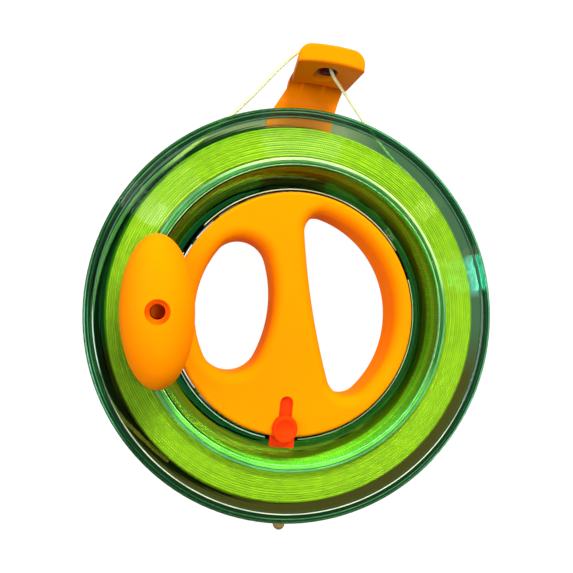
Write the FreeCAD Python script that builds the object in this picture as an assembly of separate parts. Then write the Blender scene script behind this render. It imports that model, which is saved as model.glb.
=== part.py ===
import FreeCAD, Part
import math
import os

from FreeCAD import Matrix, Vector

# Kite reel, lying on its back. Millimetres, +Z out of the front of the wheel, the line guide
# towards +Y. The origin is on the wheel's axis, in the back face that the reel rests on.

up = Vector(0, 0, 1)
down = Vector(0, 0, -1)

# Wheel: two clear halves that meet at the joint plane. Its radii follow from the handle's: bore,
# ledge, cone, lip, barrel, pack of line and rim, from the inside out.
wheel_back = 10.0
wheel_width = 41.0
flange_thickness = 2.4
flange_recess = 0.8
rim_bead_width = 4.5
rim_rounding = 1.2
rim_over_pack = 10.2
wheel_wall = 2.4
ledge_width = 5.6
ledge_drop = 11.5
cone_run = 6.5
lip_width = 3.5
lip_rounding = 1.6
lip_step = 1.5
spigot_width = 1.0
spigot_height = 2.0
spigot_clearance = 0.1

# Stop ridge on the front ledge, a half-round bead that the lock's bolt reaches over
ridge_inset = 0.1
ridge_height = 1.0
stop_count = 3
stop_angle = 270.0
stop_gap_width = 18.0

# Catch stud in the front rim, for the line's end
stud_angle = 270.8
stud_radius = 1.2
stud_depth = 2.6
stud_head_radius = 3.1
stud_head_height = 2.8
stud_clearance = 0.05

# Bearing between the handle's drum and the wheel's bore
disc_overhang = 4.0
ball_radius = 3.0
ball_count = 24
race_clearance = 0.3
cage_height = 8.0
cage_gap = 0.6
pocket_clearance = 0.15
bore_gap = 0.9

# Handle: two shells that meet at the joint plane
handle_radius = 66.0
handle_front_drop = 6.0
handle_back_drop = 7.0
disc_thickness = 4.5
disc_rounding = 2.0
front_hole_rounding = 6.5
back_hole_rounding = 5.0
shell_floor = 4.0
hole_wall = 5.0
drum_wall = 5.0
post_radius = 3.6

# Finger holes: an arc about the axis, set in from the drum's face, a round cap at each end with
# its angle about the axis, and the radius of the grip side
left_hole_inset = 8.2
left_top_cap = 15.6
left_top_angle = 145.6
left_low_cap = 16.4
left_low_angle = 209.6
left_grip_radius = 70.0
right_hole_inset = 5.0
right_top_cap = 9.5
right_top_angle = 77.5
right_low_cap = 12.1
right_low_angle = -41.6
right_grip_radius = 400.0
bridge_land = 1.0

# Guide arm, with the platform that carries the handle
arm_thickness = 5.0
arm_half_width = 19.75
arm_centre = -2.25
neck_gap = 5.0
platform_inset = 4.0
platform_half_width = 24.0
platform_gap = 4.5
neck_centre = 4.4
neck_half_width = 16.4
head_centre = 3.0
head_half_width = 18.4
head_gap = 24.7
head_thickness = 10.1
head_arc_radius = 98.0
head_arc_shift = 1.5
head_rise = 4.0
head_back = 20.0
head_step = 3.6
head_corner = 7.5
head_edge = 1.6
arm_bend_radius = 14.0
web_sink = 1.0
gusset_spacing = 13.0
gusset_thickness = 1.6
gusset_drop = 9.0
gusset_slant = 2.0
gusset_sink = 0.5
gusset_inset = 0.6
eye_drop = 13.5
eye_radius = 6.0
eye_bore = 4.5
eye_clearance = 0.05
eye_inset = 0.6
eye_mouth_share = 0.8
eye_relief_radius = 6.6
eye_relief_tilt = 50.0

# Lock
bolt_width = 13.4
bolt_thickness = 1.6
bolt_length = 35.9
bolt_end_gap = 0.6
bolt_travel = 8.0
bolt_over_ridge = 0.6
bolt_corner = 1.2
slide_clearance = 0.2
slot_spare = 3.0
stem_width = 6.8
stem_length = 8.0
stem_inset = 2.8
peg_radius = 2.0
peg_height = 2.0
peg_clearance = 0.05
button_width = 13.3
button_length = 14.6
button_inset = 4.8
button_height = 3.7
button_gap = 0.3
button_rounding = 0.9
dish_radius = 5.2
dish_depth = 1.5
keeper_length = 21.0
keeper_edge = 2.4
keeper_wall_gap = 3.0
keeper_clearance = 0.1
keeper_thickness = 1.8
keeper_screw_gap = 2.9
detent_width = 4.0
detent_length = 13.0
detent_rise = 0.45
detent_thickness = 0.3
detent_pocket = 0.9

# Knob
knob_angle = 184.8
knob_orbit_inset = 5.8
knob_width = 36.0
knob_length = 75.4
knob_height = 34.0
knob_foot_cut = 2.5
knob_twist = 1.7
knob_mouth_radius = 5.9
knob_mouth_depth = 8.5
knob_well_radius = 3.7
knob_seat = 9.0
boss_radius = 4.2
boss_rise = 1.0
boss_lift = 0.4
axle_radius = 2.5
axle_clearance = 0.05
axle_head_radius = 3.4
axle_head_height = 2.6
axle_socket_width = 3.0
axle_end_play = 0.15
thread_radius = 1.95
thread_length = 6.5
insert_radius = 2.8
insert_length = 7.0
washer_radius = 5.5
washer_thickness = 0.8
washer_gap = 0.1

# Line
line_diameter = 1.2
pack_depth = 15.8
winding_turns = 17
winding_bend = 1.25
winding_lift = 0.05
core_side_gap = 0.1
free_line_diameter = 1.6

# Screws
screw_radius = 1.5
screw_head_radius = 2.9
screw_head_height = 1.9
screw_sink = 0.5
screw_clearance = 0.06
head_clearance = 0.3
screw_grip = 8.0
screw_end_gap = 0.5
arm_screw_seat = 12.0
small_screw_radius = 1.0
small_head_radius = 1.9
small_head_height = 1.2
small_screw_grip = 3.0

# Shares of a screw's head that its cross recess is deep, long and wide
recess_depth = 0.55
recess_length = 0.6
recess_width = 0.14

# Screw places: those in the bridge between the finger holes by X and Y, the rest by how far in
# from the drum's face they are and by their angle
bridge_handle_screws = ((-2.9, 14.0), (0.6, -8.0))
outer_handle_screws = ((10.0, 97.7), (12.6, 248.6), (12.6, 291.4))
bridge_arm_screws = ((-9.0, 31.0), (0.0, -24.0))
outer_arm_screws = ((11.7, 111.0), (13.2, 260.0), (13.2, 280.0))

# How far a cutting shape stands out past what it cuts
clear = 1.0

wheel_front = wheel_back + wheel_width
half_width = wheel_width / 2
joint_plane = wheel_back + half_width
flange_inner = half_width - flange_recess - flange_thickness
ledge_height = half_width - ledge_drop
ledge_z = joint_plane + ledge_height
bore_radius = handle_radius + bore_gap
ledge_radius = bore_radius + ledge_width
lip_inner_radius = ledge_radius + cone_run
lip_outer_radius = lip_inner_radius + lip_width
barrel_radius = lip_outer_radius + lip_step
barrel_inner = barrel_radius - wheel_wall
pack_radius = barrel_radius + pack_depth
rim_radius = pack_radius + rim_over_pack
hub_wall_radius = bore_radius + wheel_wall
spigot_radius = (barrel_inner + barrel_radius) / 2
ridge_radius = bore_radius + ridge_inset + ridge_height
ridge_top = ledge_z + ridge_height
bolt_base = ridge_top + bolt_over_ridge
bolt_top = bolt_base + bolt_thickness
bolt_outer = ledge_radius - bolt_end_gap
bolt_inner = bolt_outer - bolt_length
handle_front = wheel_front - handle_front_drop
handle_back = wheel_back + handle_back_drop
roof_z = bolt_base - keeper_clearance
floor_z = handle_back + shell_floor
drum_radius = handle_radius - disc_overhang
ball_pitch_radius = (drum_radius + bore_radius) / 2
cavity_radius = drum_radius - drum_wall
stem_outer = handle_radius - stem_inset
slot_end = stem_outer - stem_length - bolt_travel - slot_spare
button_centre = handle_radius - button_inset
keeper_outer = cavity_radius - keeper_wall_gap
keeper_inner = keeper_outer - keeper_length
keeper_screw_x = bolt_width / 2 + keeper_screw_gap
keeper_half_width = keeper_screw_x + keeper_edge
platform_radius = drum_radius - platform_inset
arm_neck_y = rim_radius + neck_gap
head_under = rim_radius + head_gap
head_top = head_under + head_thickness
head_front = wheel_front + head_rise
eye_z = head_front - eye_drop
eye_x = head_centre + (neck_centre - head_centre) * eye_drop / (head_front - head_back)
line_radius = line_diameter / 2
free_line_radius = free_line_diameter / 2
boss_base = bolt_top + boss_lift
boss_top = wheel_front + boss_rise
knob_foot = boss_top + washer_thickness + washer_gap
knob_orbit = lip_inner_radius - knob_orbit_inset
knob_x = knob_orbit * math.cos(math.radians(knob_angle))
knob_y = knob_orbit * math.sin(math.radians(knob_angle))

left_hole = {"outer": drum_radius - left_hole_inset, "side": left_grip_radius,
             "caps": ((left_top_cap, left_top_angle), (left_low_cap, left_low_angle))}
right_hole = {"outer": drum_radius - right_hole_inset, "side": right_grip_radius,
              "caps": ((right_top_cap, right_top_angle), (right_low_cap, right_low_angle))}


def polar(radius, degrees, z=0.0):
    turn = math.radians(degrees)
    return Vector(radius * math.cos(turn), radius * math.sin(turn), z)


def cylinder(radius, base, height, direction=up):
    return Part.makeCylinder(radius, height, base, direction)


def box(x0, x1, y0, y1, z0, z1):
    return Part.makeBox(x1 - x0, y1 - y0, z1 - z0, Vector(x0, y0, z0))


def ring(inner, outer, z0, z1):
    base = Vector(0, 0, z0)
    return cylinder(outer, base, z1 - z0).cut(cylinder(inner, base, z1 - z0))


def prism(wire, z0, z1):
    """Extrude a closed outline of the XY plane from z0 to z1."""
    face = Part.Face(wire)
    face.translate(Vector(0, 0, z0))
    return face.extrude(Vector(0, 0, z1 - z0))


def polygon(points):
    return Part.makePolygon(points + points[:1])


def revolve(points):
    """Turn a closed (radius, z) outline about the wheel's axis."""
    face = Part.Face(polygon([Vector(radius, 0, z) for radius, z in points]))
    return face.revolve(Vector(0, 0, 0), up, 360)


def arc_edge(start, middle, end):
    return Part.Arc(start, middle, end).toShape()


def line_edge(start, end):
    return Part.LineSegment(start, end).toShape()


def round_edges(shape, radius, wanted):
    return shape.makeFillet(radius, [edge for edge in shape.Edges if wanted(edge)])


def flat_at(edge, z):
    bounds = edge.BoundBox
    return abs(bounds.ZMin - z) < 0.01 and abs(bounds.ZMax - z) < 0.01


def circle_at(radius, z):
    """Choose the full circles about the axis of this radius, at this height."""
    def wanted(edge):
        bounds = edge.BoundBox
        across = abs(bounds.XMax - radius) < 0.01 and abs(bounds.XMin + radius) < 0.01
        return flat_at(edge, z) and across
    return wanted


def save(name, shape):
    shape.exportStep("parts/" + name + ".step")


def place(points, z):
    return [Vector(x, y, z) for x, y in points]


def stadium(width, y0, y1):
    """Outline of a slot with round ends, centred on the Y axis."""
    radius = width / 2
    low, high = y0 + radius, y1 - radius
    left_low, left_high = Vector(-radius, low, 0), Vector(-radius, high, 0)
    right_low, right_high = Vector(radius, low, 0), Vector(radius, high, 0)
    return Part.Wire([line_edge(right_low, right_high),
                      arc_edge(right_high, Vector(0, y1, 0), left_high),
                      line_edge(left_high, left_low),
                      arc_edge(left_low, Vector(0, y0, 0), right_low)])


def screw(head_face, direction, length, radius, head_radius, head_height):
    """A pan-head screw with a cross recess, from its head's outer face along direction."""
    head = cylinder(head_radius, head_face, head_height, direction)
    outer_rim = [edge for edge in head.Edges if flat_at(edge, head_face.z)]
    head = head.makeFillet(head_height / 3, outer_rim)
    body = head.fuse(cylinder(radius, head_face, length, direction))
    depth = recess_depth * head_height * direction.z
    low, high = sorted((head_face.z - depth, head_face.z + depth))
    for half_x, half_y in ((recess_length, recess_width), (recess_width, recess_length)):
        across, along = half_x * head_radius, half_y * head_radius
        body = body.cut(box(head_face.x - across, head_face.x + across,
                            head_face.y - along, head_face.y + along, low, high))
    return body.removeSplitter()


def screw_group(heads, direction, length, radius, head_radius, head_height):
    return Part.makeCompound([screw(head, direction, length, radius, head_radius, head_height)
                              for head in heads])


def finger_hole(hole, grow):
    """Outline of a finger hole in the XY plane, its edge moved outwards by grow."""
    outer = hole["outer"]
    caps = hole["caps"]
    centres = [polar(outer - radius, angle) for radius, angle in caps]
    reach = [hole["side"] - radius for radius, angle in caps]
    between = centres[1] - centres[0]
    span = between.Length
    along = (reach[0] ** 2 - reach[1] ** 2 + span ** 2) / (2 * span)
    across = math.sqrt(reach[0] ** 2 - along ** 2)
    line = between / span
    normal = Vector(-line.y, line.x, 0)
    if normal.dot(centres[0] + centres[1]) < 0:
        normal = normal * -1
    side_centre = centres[0] + line * along + normal * across

    def on_side(point):
        ray = point - side_centre
        return side_centre + ray / ray.Length * (hole["side"] + grow)

    outer_corner = [polar(outer + grow, angle) for radius, angle in caps]
    side_corner = [on_side(centre) for centre in centres]
    cap_middle = []
    for number, (radius, angle) in enumerate(caps):
        centre = centres[number]
        away = centre - centres[1 - number]
        ray = (outer_corner[number] - centre) + (side_corner[number] - centre)
        if ray.dot(away) < 0:
            ray = ray * -1
        cap_middle.append(centre + ray / ray.Length * (radius + grow))
    outer_middle = polar(outer + grow, (caps[0][1] + caps[1][1]) / 2)
    side_middle = on_side((centres[0] + centres[1]) / 2)
    return Part.Wire([arc_edge(outer_corner[0], outer_middle, outer_corner[1]),
                      arc_edge(outer_corner[1], cap_middle[1], side_corner[1]),
                      arc_edge(side_corner[1], side_middle, side_corner[0]),
                      arc_edge(side_corner[0], cap_middle[0], outer_corner[0])])


def cut_holes(shape, grow, z0, z1):
    for hole in (left_hole, right_hole):
        shape = shape.cut(prism(finger_hole(hole, grow), z0, z1))
    return shape


# Wheel

cone_rise = half_width - ledge_height
cone_length = math.hypot(cone_rise, cone_run)
channel_floor = ledge_height - wheel_wall


def cone_radius(height, depth):
    """Radius of the front cone at a height over the joint plane, depth behind its face."""
    return (ledge_radius + (height - ledge_height) * cone_run / cone_rise
            + depth * cone_length / cone_rise)


def channel_points():
    return [(hub_wall_radius, 0), (hub_wall_radius, channel_floor),
            (cone_radius(channel_floor, wheel_wall), channel_floor),
            (cone_radius(flange_inner, wheel_wall), flange_inner),
            (barrel_inner, flange_inner), (barrel_inner, 0)]


def half_points():
    step = half_width - flange_recess
    bead = rim_radius - rim_bead_width
    outside = [(bore_radius, 0), (bore_radius, ledge_height), (ledge_radius, ledge_height),
               (lip_inner_radius, half_width), (lip_outer_radius, half_width),
               (lip_outer_radius + flange_recess, step), (bead - flange_recess, step),
               (bead, half_width), (rim_radius, half_width), (rim_radius, flange_inner),
               (barrel_radius, flange_inner), (barrel_radius, 0)]
    return outside + channel_points()[::-1]


def seen_from(side, points):
    """Points of a half as (radius, z): side is 1 for the front half and -1 for the back."""
    return [(radius, joint_plane + side * height) for radius, height in points]


def wheel_half(side):
    body = revolve(seen_from(side, half_points()))
    front = joint_plane + side * half_width
    inside = joint_plane + side * flange_inner
    for z in (front, inside):
        body = round_edges(body, rim_rounding, circle_at(rim_radius, z))
    for radius in (lip_inner_radius, lip_outer_radius):
        body = round_edges(body, lip_rounding, circle_at(radius, front))
    return body.cut(Part.makeTorus(ball_pitch_radius, ball_radius + race_clearance,
                                   Vector(0, 0, joint_plane)))


def spigot(clearance):
    """The ring on the front half's barrel that fits in the back half's, grown by clearance."""
    half = spigot_width / 2 + clearance
    return ring(spigot_radius - half, spigot_radius + half,
                joint_plane - spigot_height - clearance, joint_plane)


def stop_ridge():
    ridge = Part.makeTorus(ridge_radius, ridge_height, Vector(0, 0, ledge_z))
    reach = ridge_radius + ridge_height + clear
    gap = box(0, reach, -stop_gap_width / 2, stop_gap_width / 2, ledge_z, ridge_top + clear)
    for number in range(stop_count):
        notch = gap.copy()
        notch.rotate(Vector(0, 0, 0), up, stop_angle + number * 360 / stop_count)
        ridge = ridge.cut(notch)
    return ridge


def knob_boss():
    """The post that carries the knob, held to the cone's face above the lock's bolt."""
    post = cylinder(boss_radius, Vector(knob_orbit, 0, boss_base), boss_top - boss_base)
    web = box(knob_orbit, lip_outer_radius, -boss_radius, boss_radius, boss_base, wheel_front)
    depth = wheel_wall / 2
    low, high = boss_base - joint_plane, half_width
    limit = revolve([(bore_radius, boss_base), (cone_radius(low, depth), boss_base),
                     (cone_radius(high, depth), wheel_front),
                     (cone_radius(high, depth), boss_top), (bore_radius, boss_top)])
    boss = post.fuse(web).common(limit)
    boss.rotate(Vector(0, 0, 0), up, knob_angle)
    return boss


def stud_axis(radius):
    return polar(radius, stud_angle, joint_plane + (flange_inner + half_width) / 2)


def wheel_front_half():
    body = wheel_half(1).fuse([stop_ridge(), knob_boss(), spigot(0)])
    hole = cylinder(insert_radius, Vector(knob_x, knob_y, boss_top - insert_length),
                    insert_length)
    body = body.cut(hole)
    outwards = polar(1, stud_angle)
    start = stud_axis(rim_radius - stud_depth)
    return body.cut(cylinder(stud_radius + stud_clearance, start, 2 * stud_depth, outwards))


def wheel_back_half():
    return wheel_half(-1).cut(spigot(spigot_clearance))


def catch_stud():
    outwards = polar(1, stud_angle)
    peg = cylinder(stud_radius, stud_axis(rim_radius - stud_depth), stud_depth, outwards)
    dome = Part.makeSphere(stud_head_radius, stud_axis(rim_radius))
    low = rim_radius + stud_head_height
    keep = cylinder(2 * stud_head_radius, stud_axis(rim_radius), low - rim_radius, outwards)
    middle = stud_axis(rim_radius).z
    outside = ring(rim_radius, rim_radius + 2 * stud_head_radius,
                   middle - 2 * stud_head_radius, middle + 2 * stud_head_radius)
    return peg.fuse(dome.common(keep).common(outside))


# Bearing

def ball_cage():
    cage = ring(drum_radius + cage_gap, bore_radius - cage_gap,
                joint_plane - cage_height / 2, joint_plane + cage_height / 2)
    for number in range(ball_count):
        turn = number * 360 / ball_count
        start = polar(drum_radius, turn, joint_plane)
        pocket = cylinder(ball_radius + pocket_clearance, start, bore_radius - drum_radius,
                          polar(1, turn))
        cage = cage.cut(pocket)
    return cage


def bearing_balls():
    return Part.makeCompound([Part.makeSphere(ball_radius, polar(ball_pitch_radius, number * 360
                                                                 / ball_count, joint_plane))
                              for number in range(ball_count)])


# Handle

def handle_body():
    """Drum, two discs and finger holes in one piece, before it is split and hollowed."""
    body = cylinder(handle_radius, Vector(0, 0, handle_back), handle_front - handle_back)
    body = body.cut(ring(drum_radius, handle_radius + clear, handle_back + disc_thickness,
                         handle_front - disc_thickness))
    body = cut_holes(body, 0, handle_back - clear, handle_front + clear)
    bridge = finger_hole(left_hole, 0).distToShape(finger_hole(right_hole, 0))[0]
    most = (bridge - bridge_land) / 2
    faces = ((handle_front, front_hole_rounding), (handle_back, back_hole_rounding))
    for z, rounding in faces:
        body = round_edges(body, disc_rounding, circle_at(handle_radius, z))
        body = round_edges(body, min(rounding, most), lambda edge: flat_at(edge, z)
                           and edge.BoundBox.XMax < drum_radius)
    return body.cut(Part.makeTorus(ball_pitch_radius, ball_radius + race_clearance,
                                   Vector(0, 0, joint_plane)))


def screw_places(in_bridge, outer):
    places = [Vector(x, y, 0) for x, y in in_bridge]
    places += [polar(drum_radius - inset, angle) for inset, angle in outer]
    return [(point.x, point.y) for point in places]


def cavity(z0, z1):
    return cut_holes(cylinder(cavity_radius, Vector(0, 0, z0), z1 - z0), hole_wall, z0, z1)


def handle_front_shell(body):
    reach = handle_radius + clear
    shell = body.common(box(-reach, reach, -reach, reach, joint_plane, handle_front))
    hollow = cavity(joint_plane, roof_z)
    shell = shell.cut(hollow)
    posts = [cylinder(post_radius, point, roof_z - joint_plane).common(hollow)
             for point in place(handle_screw_places, joint_plane)]
    shell = shell.fuse(posts)
    for point in place(handle_screw_places, joint_plane):
        shell = shell.cut(cylinder(screw_radius + screw_clearance, point,
                                   screw_grip + screw_end_gap))
    half = bolt_width / 2 + slide_clearance
    inner = bolt_inner - bolt_travel - slide_clearance
    shell = shell.cut(box(-half, half, -reach, -inner, roof_z, bolt_top + slide_clearance))
    slot_width = stem_width + 2 * slide_clearance
    slot = stadium(slot_width, -stem_outer - slide_clearance, -slot_end)
    shell = shell.cut(prism(slot, roof_z, handle_front))
    side = keeper_half_width + slide_clearance
    shell = shell.cut(box(-side, side, -keeper_outer - slide_clearance,
                          -keeper_inner + slide_clearance, joint_plane, roof_z))
    for point in place(keeper_screw_points(), roof_z):
        shell = shell.cut(cylinder(small_screw_radius + screw_clearance, point,
                                   small_screw_grip + screw_clearance))
    return shell


def handle_back_shell(body):
    reach = handle_radius + clear
    shell = body.common(box(-reach, reach, -reach, reach, handle_back, joint_plane))
    hollow = cavity(floor_z, joint_plane)
    shell = shell.cut(hollow)
    places = handle_screw_places + arm_screw_places
    posts = [cylinder(post_radius, point, joint_plane - floor_z).common(hollow)
             for point in place(places, floor_z)]
    shell = shell.fuse(posts)
    seat = handle_back + screw_sink + screw_head_height
    for point in place(handle_screw_places, handle_back):
        shell = shell.cut(cylinder(screw_radius + screw_clearance, point,
                                   joint_plane - handle_back))
        shell = shell.cut(cylinder(screw_head_radius + head_clearance, point,
                                   seat - handle_back))
    for point in place(arm_screw_places, handle_back):
        shell = shell.cut(cylinder(screw_radius + screw_clearance, point,
                                   screw_grip + screw_end_gap))
    return shell


# Guide arm

def arm_profile():
    """Side view of the strap: flat behind the wheel, then up to the head in a round sweep."""
    inner_y = head_under + head_step
    outer_y = inner_y + arm_thickness
    bend_y = inner_y - arm_bend_radius
    bend_z = arm_thickness + arm_bend_radius
    turn = math.sqrt(0.5)

    def on_bend(radius):
        return Vector(0, bend_y + radius * turn, bend_z - radius * turn)

    outer_radius = arm_bend_radius + arm_thickness
    top = head_back + web_sink
    corners = [Vector(0, 0, 0), Vector(0, bend_y, 0), Vector(0, outer_y, bend_z),
               Vector(0, outer_y, top), Vector(0, inner_y, top), Vector(0, inner_y, bend_z),
               Vector(0, bend_y, arm_thickness), Vector(0, 0, arm_thickness)]
    return Part.Wire([line_edge(corners[0], corners[1]),
                      arc_edge(corners[1], on_bend(outer_radius), corners[2]),
                      line_edge(corners[2], corners[3]), line_edge(corners[3], corners[4]),
                      line_edge(corners[4], corners[5]),
                      arc_edge(corners[5], on_bend(arm_bend_radius), corners[6]),
                      line_edge(corners[6], corners[7]), line_edge(corners[7], corners[0])])


def arm_plan():
    """Top view of the strap, narrowing to the neck, with the head's round top corners."""
    left, right = neck_centre - neck_half_width, neck_centre + neck_half_width
    root_left, root_right = arm_centre - arm_half_width, arm_centre + arm_half_width
    shoulder = head_top - head_corner
    skew = head_corner * (1 - math.sqrt(0.5))
    points = [Vector(root_left, 0, 0), Vector(root_left, arm_neck_y, 0),
              Vector(left, head_under, 0), Vector(left, shoulder, 0),
              Vector(left + head_corner, head_top, 0), Vector(right - head_corner, head_top, 0),
              Vector(right, shoulder, 0), Vector(right, head_under, 0),
              Vector(root_right, arm_neck_y, 0), Vector(root_right, 0, 0)]
    left_corner = Vector(left + skew, head_top - skew, 0)
    right_corner = Vector(right - skew, head_top - skew, 0)
    edges = [line_edge(points[0], points[1]), line_edge(points[1], points[2]),
             line_edge(points[2], points[3]), arc_edge(points[3], left_corner, points[4]),
             line_edge(points[4], points[5]), arc_edge(points[5], right_corner, points[6]),
             line_edge(points[6], points[7]), line_edge(points[7], points[8]),
             line_edge(points[8], points[9]), line_edge(points[9], points[0])]
    return Part.Wire(edges)


def guide_head():
    """A bar bent to an arc, narrower at the neck than in front, with round top corners."""
    band = ring(head_arc_radius, head_arc_radius + head_thickness, head_back, head_front)
    band.translate(Vector(head_centre + head_arc_shift, head_under - head_arc_radius, 0))
    sides = polygon([Vector(neck_centre - neck_half_width, 0, head_back),
                     Vector(neck_centre + neck_half_width, 0, head_back),
                     Vector(head_centre + head_half_width, 0, head_front),
                     Vector(head_centre - head_half_width, 0, head_front)])
    head = band.common(Part.Face(sides).extrude(Vector(0, head_top + clear, 0)))

    def top_corner(edge):
        bounds = edge.BoundBox
        slanted = bounds.ZLength > (head_front - head_back) / 2
        return slanted and bounds.YMin > (head_under + head_top) / 2

    head = round_edges(head, head_corner, top_corner)
    return round_edges(head, head_edge, lambda edge: flat_at(edge, head_front))


def gussets():
    edge_y = head_under + gusset_inset
    inner_y = head_under + head_step
    sunk_y = inner_y + web_sink
    outline = polygon([Vector(0, edge_y, head_back), Vector(0, sunk_y, head_back),
                       Vector(0, sunk_y, head_back - gusset_drop - gusset_slant),
                       Vector(0, inner_y - gusset_sink, head_back - gusset_drop)])
    plates = []
    for side in (-1, 1):
        x = eye_x + side * gusset_spacing / 2 - gusset_thickness / 2
        plate = Part.Face(outline).extrude(Vector(gusset_thickness, 0, 0))
        plate.translate(Vector(x, 0, 0))
        plates.append(plate)
    return plates


def guide_arm():
    half_strap = arm_half_width + abs(arm_centre) + clear
    strap = Part.Face(arm_profile()).extrude(Vector(2 * half_strap, 0, 0))
    strap.translate(Vector(-half_strap, 0, 0))
    strap = strap.common(prism(arm_plan(), 0, head_back + web_sink))
    platform = cylinder(platform_radius, Vector(0, 0, 0), handle_back)
    platform = platform.common(box(-platform_half_width, platform_half_width,
                                   -platform_radius, platform_radius, 0, handle_back))
    arm = strap.fuse([platform, guide_head()] + gussets())
    arm = cut_holes(arm, platform_gap, 0, handle_back)
    axis = Vector(0, 1, 0)
    bore = Vector(eye_x, head_under - head_thickness, eye_z)
    arm = arm.cut(cylinder(eye_radius + eye_clearance, bore, 3 * head_thickness, axis))
    tilt = math.radians(eye_relief_tilt)
    relief_axis = Vector(0, -math.cos(tilt), -math.sin(tilt))
    relief_start = Vector(eye_x, head_under + head_thickness / 2, eye_z)
    arm = arm.cut(cylinder(eye_relief_radius, relief_start, 2 * head_thickness, relief_axis))
    for point in place(arm_screw_places, 0):
        arm = arm.cut(cylinder(screw_radius + screw_clearance, point, handle_back))
        arm = arm.cut(cylinder(screw_head_radius + head_clearance, point, arm_screw_seat))
    return arm.removeSplitter()


def eyelet_ring():
    """A turned ring in the guide's eye, its bore rounded at both mouths."""
    start = Vector(eye_x, head_under, eye_z)
    length = head_thickness - eye_inset
    tube = cylinder(eye_radius, start, length, Vector(0, 1, 0))
    tube = tube.cut(cylinder(eye_bore, start, length, Vector(0, 1, 0)))
    inner = [edge for edge in tube.Edges if edge.Closed
             and abs(edge.BoundBox.XLength - 2 * eye_bore) < 0.01]
    return tube.makeFillet(eye_mouth_share * (eye_radius - eye_bore), inner)


# Lock

def keeper_screw_points():
    middle = -(keeper_inner + keeper_outer) / 2
    return [(-keeper_screw_x, middle), (keeper_screw_x, middle)]


def lock_slider():
    half = bolt_width / 2
    bolt = box(-half, half, -bolt_outer, -bolt_inner, bolt_base, bolt_top)
    bolt = round_edges(bolt, bolt_corner, lambda edge: edge.BoundBox.ZLength > bolt_thickness / 2)
    stem = prism(stadium(stem_width, -stem_outer, -stem_outer + stem_length), bolt_base,
                 handle_front + button_gap)
    peg = cylinder(peg_radius, Vector(0, stem_length / 2 - stem_outer, bolt_base),
                   handle_front + button_gap + peg_height - bolt_base)
    return bolt.fuse([stem, peg]).removeSplitter()


def lock_button():
    """A dished oval cap on the slider's stem."""
    base = handle_front + button_gap
    centre = Vector(0, -button_centre, base)
    far_point, near_point = Vector(0, button_length / 2, 0), Vector(button_width / 2, 0, 0)
    oval = Part.Ellipse(centre + far_point, centre + near_point, centre)
    body = Part.Face(Part.Wire([oval.toShape()])).extrude(Vector(0, 0, button_height))
    top = base + button_height
    body = round_edges(body, button_rounding, lambda edge: flat_at(edge, top))
    bowl_radius = (dish_radius ** 2 + dish_depth ** 2) / (2 * dish_depth)
    bowl = Part.makeSphere(bowl_radius, Vector(0, -button_centre, top - dish_depth + bowl_radius))
    body = body.cut(bowl)
    peg_centre = Vector(0, stem_length / 2 - stem_outer, base)
    return body.cut(cylinder(peg_radius + peg_clearance, peg_centre, peg_height + peg_clearance))


def lock_keeper():
    """The plate under the handle's roof that the bolt slides on."""
    plate = box(-keeper_half_width, keeper_half_width, -keeper_outer, -keeper_inner,
                roof_z - keeper_thickness, roof_z)
    pocket = detent_length / 2 + slide_clearance
    middle = -(keeper_inner + keeper_outer) / 2
    plate = plate.cut(box(-detent_width / 2 - slide_clearance, detent_width / 2 + slide_clearance,
                          middle - pocket, middle + pocket, roof_z - detent_pocket, roof_z))
    for point in place(keeper_screw_points(), roof_z - keeper_thickness):
        plate = plate.cut(cylinder(small_screw_radius + screw_clearance, point,
                                   keeper_thickness))
    return plate


def lock_detent_spring():
    """A bowed leaf in the keeper's pocket that bears on the bolt."""
    middle = -(keeper_inner + keeper_outer) / 2
    base = roof_z - detent_pocket
    reach = detent_length / 2

    def bow(lift, z_ends):
        return (Vector(0, middle - reach, z_ends), Vector(0, middle, z_ends + lift),
                Vector(0, middle + reach, z_ends))

    low = bow(detent_rise, base)
    high = bow(detent_rise, base + detent_thickness)
    leaf = Part.Wire([arc_edge(*low), line_edge(low[2], high[2]), arc_edge(*high[::-1]),
                      line_edge(high[0], low[0])])
    solid = Part.Face(leaf).extrude(Vector(detent_width, 0, 0))
    solid.translate(Vector(-detent_width / 2, 0, 0))
    return solid


# Knob

def at_knob(shape):
    """Move a shape made round the origin to the knob's axis, its base to the knob's foot."""
    moved = shape.copy()
    moved.rotate(Vector(0, 0, 0), up, knob_angle + knob_twist)
    moved.translate(Vector(knob_x, knob_y, knob_foot))
    return moved


def knob():
    """An egg-shaped grip, its long axis round the wheel, flat where it faces the wheel."""
    half_height = (knob_height + knob_foot_cut) / 2
    stretch = Matrix()
    stretch.scale(Vector(knob_width / 2, knob_length / 2, half_height))
    egg = Part.makeSphere(1.0).transformGeometry(stretch)
    egg.translate(Vector(0, 0, half_height - knob_foot_cut))
    egg = egg.common(box(-knob_width, knob_width, -knob_length, knob_length, 0,
                         knob_height + clear))
    mouth = cylinder(knob_mouth_radius, Vector(0, 0, knob_height - knob_mouth_depth),
                     knob_mouth_depth + clear)
    well = cylinder(knob_well_radius, Vector(0, 0, knob_seat), knob_height)
    bore = cylinder(axle_radius + axle_clearance, Vector(0, 0, 0), knob_height)
    return at_knob(egg.cut(mouth).cut(well).cut(bore))


def knob_axle_screw():
    shoulder_base = boss_top - knob_foot
    head_base = knob_seat + axle_end_play
    head = cylinder(axle_head_radius, Vector(0, 0, head_base), axle_head_height)
    shoulder = cylinder(axle_radius, Vector(0, 0, shoulder_base), head_base - shoulder_base)
    thread = cylinder(thread_radius, Vector(0, 0, shoulder_base - thread_length), thread_length)
    corners = [polar(axle_socket_width / math.sqrt(3), 60 * number, 0) for number in range(6)]
    socket = prism(polygon(corners), head_base + axle_head_height / 3,
                   head_base + axle_head_height)
    return at_knob(head.fuse([shoulder, thread]).cut(socket))


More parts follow.
